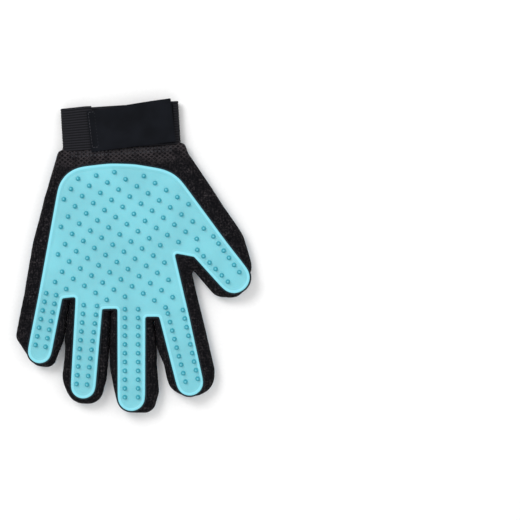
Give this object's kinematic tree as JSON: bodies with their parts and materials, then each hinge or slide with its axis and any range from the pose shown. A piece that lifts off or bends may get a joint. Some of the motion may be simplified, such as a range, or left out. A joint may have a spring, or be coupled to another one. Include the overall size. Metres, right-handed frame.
{
  "type": "pet grooming glove",
  "caption": "Left-hand grooming glove: nubbed rubber curry pad on the palm, black mesh sides, plush back and an elastic cuff with a hook-and-loop tab.",
  "frame": {"origin": "on the plush back under the middle of the palm, where the glove rests on a table", "axes": "+Z from the plush back to the rubber pad, -Y along the middle finger, +X to the thumb"},
  "size_m": [0.1775, 0.235, 0.0176],
  "materials": {
    "pad_rubber": "moulded thermoplastic rubber, satin",
    "back_plush": "brushed plush pile",
    "palm_mesh_fabric": "knitted air mesh",
    "side_mesh_fabric": "knitted air mesh",
    "cuff_elastic_webbing": "ribbed woven elastic",
    "trim_knit": "overlocked knit",
    "loop_tape": "brushed loop tape",
    "tab_tape": "smooth woven tape",
    "hook_tape": "moulded nylon hooks",
    "thread": "sewing thread"
  },
  "bodies": {
    "palm": {"palm_pad": "pad_rubber", "palm_mesh": "palm_mesh_fabric", "palm_plush": "back_plush", "little_side_wall": "side_mesh_fabric", "thumb_side_wall": "side_mesh_fabric", "index_side_wall": "side_mesh_fabric", "little_ring_web": "side_mesh_fabric", "ring_middle_web": "side_mesh_fabric", "middle_index_web": "side_mesh_fabric", "cuff_elastic": "cuff_elastic_webbing", "cuff_trim": "trim_knit", "loop_patch": "loop_tape", "tab_sewn_end": "tab_tape", "tab_stitching": "thread"},
    "strap": {"hook_tab": "tab_tape", "tab_hooks": "hook_tape"},
    "little_base": {"little_pad": "pad_rubber", "little_mesh": "palm_mesh_fabric", "little_gusset": "side_mesh_fabric", "little_plush": "back_plush"},
    "little_end": {"little_tip_pad": "pad_rubber", "little_tip_mesh": "palm_mesh_fabric", "little_tip_gusset": "side_mesh_fabric", "little_tip_plush": "back_plush"},
    "ring_base": {"ring_pad": "pad_rubber", "ring_mesh": "palm_mesh_fabric", "ring_gusset": "side_mesh_fabric", "ring_plush": "back_plush"},
    "ring_end": {"ring_tip_pad": "pad_rubber", "ring_tip_mesh": "palm_mesh_fabric", "ring_tip_gusset": "side_mesh_fabric", "ring_tip_plush": "back_plush"},
    "middle_base": {"middle_pad": "pad_rubber", "middle_mesh": "palm_mesh_fabric", "middle_gusset": "side_mesh_fabric", "middle_plush": "back_plush"},
    "middle_end": {"middle_tip_pad": "pad_rubber", "middle_tip_mesh": "palm_mesh_fabric", "middle_tip_gusset": "side_mesh_fabric", "middle_tip_plush": "back_plush"},
    "index_base": {"index_pad": "pad_rubber", "index_mesh": "palm_mesh_fabric", "index_gusset": "side_mesh_fabric", "index_plush": "back_plush"},
    "index_end": {"index_tip_pad": "pad_rubber", "index_tip_mesh": "palm_mesh_fabric", "index_tip_gusset": "side_mesh_fabric", "index_tip_plush": "back_plush"},
    "thumb_end": {"thumb_pad": "pad_rubber", "thumb_mesh": "palm_mesh_fabric", "thumb_gusset": "side_mesh_fabric", "thumb_plush": "back_plush"}
  },
  "joints": [
    {"name": "little_knuckle", "type": "hinge", "parent": "palm", "child": "little_base", "pos_m": [-0.06255, -0.03165, 0.0148], "axis": [-0.9813, 0.1925, 0], "range_deg": [0, 40]},
    {"name": "little_middle_joint", "type": "hinge", "parent": "little_base", "child": "little_end", "pos_m": [-0.06636, -0.05108, 0.0148], "axis": [-0.9813, 0.1925, 0], "range_deg": [0, 45]},
    {"name": "ring_knuckle", "type": "hinge", "parent": "palm", "child": "ring_base", "pos_m": [-0.03367, -0.04021, 0.0148], "axis": [-0.9976, 0.0698, 0], "range_deg": [0, 40]},
    {"name": "ring_middle_joint", "type": "hinge", "parent": "ring_base", "child": "ring_end", "pos_m": [-0.03552, -0.06655, 0.0148], "axis": [-0.9976, 0.0698, 0], "range_deg": [0, 45]},
    {"name": "middle_knuckle", "type": "hinge", "parent": "palm", "child": "middle_base", "pos_m": [-0.00153, -0.04966, 0.0148], "axis": [-1, 0, 0], "range_deg": [0, 40]},
    {"name": "middle_middle_joint", "type": "hinge", "parent": "middle_base", "child": "middle_end", "pos_m": [-0.00153, -0.07606, 0.0148], "axis": [-1, 0, 0], "range_deg": [0, 45]},
    {"name": "index_knuckle", "type": "hinge", "parent": "palm", "child": "index_base", "pos_m": [0.03062, -0.04526, 0.0148], "axis": [-0.9732, -0.23, 0], "range_deg": [0, 40]},
    {"name": "index_middle_joint", "type": "hinge", "parent": "index_base", "child": "index_end", "pos_m": [0.0367, -0.07096, 0.0148], "axis": [-0.9732, -0.23, 0], "range_deg": [0, 45]},
    {"name": "thumb_knuckle", "type": "hinge", "parent": "palm", "child": "thumb_end", "pos_m": [0.06032, 0.00217, 0.0148], "axis": [-0.766, -0.6428, 0], "range_deg": [0, 40]},
    {"name": "strap_peel", "type": "hinge", "parent": "palm", "child": "strap", "pos_m": [-0.02673, 0.09548, 0.0148], "axis": [0.1219, -0.9925, 0], "range_deg": [0, 150]}
  ]
}
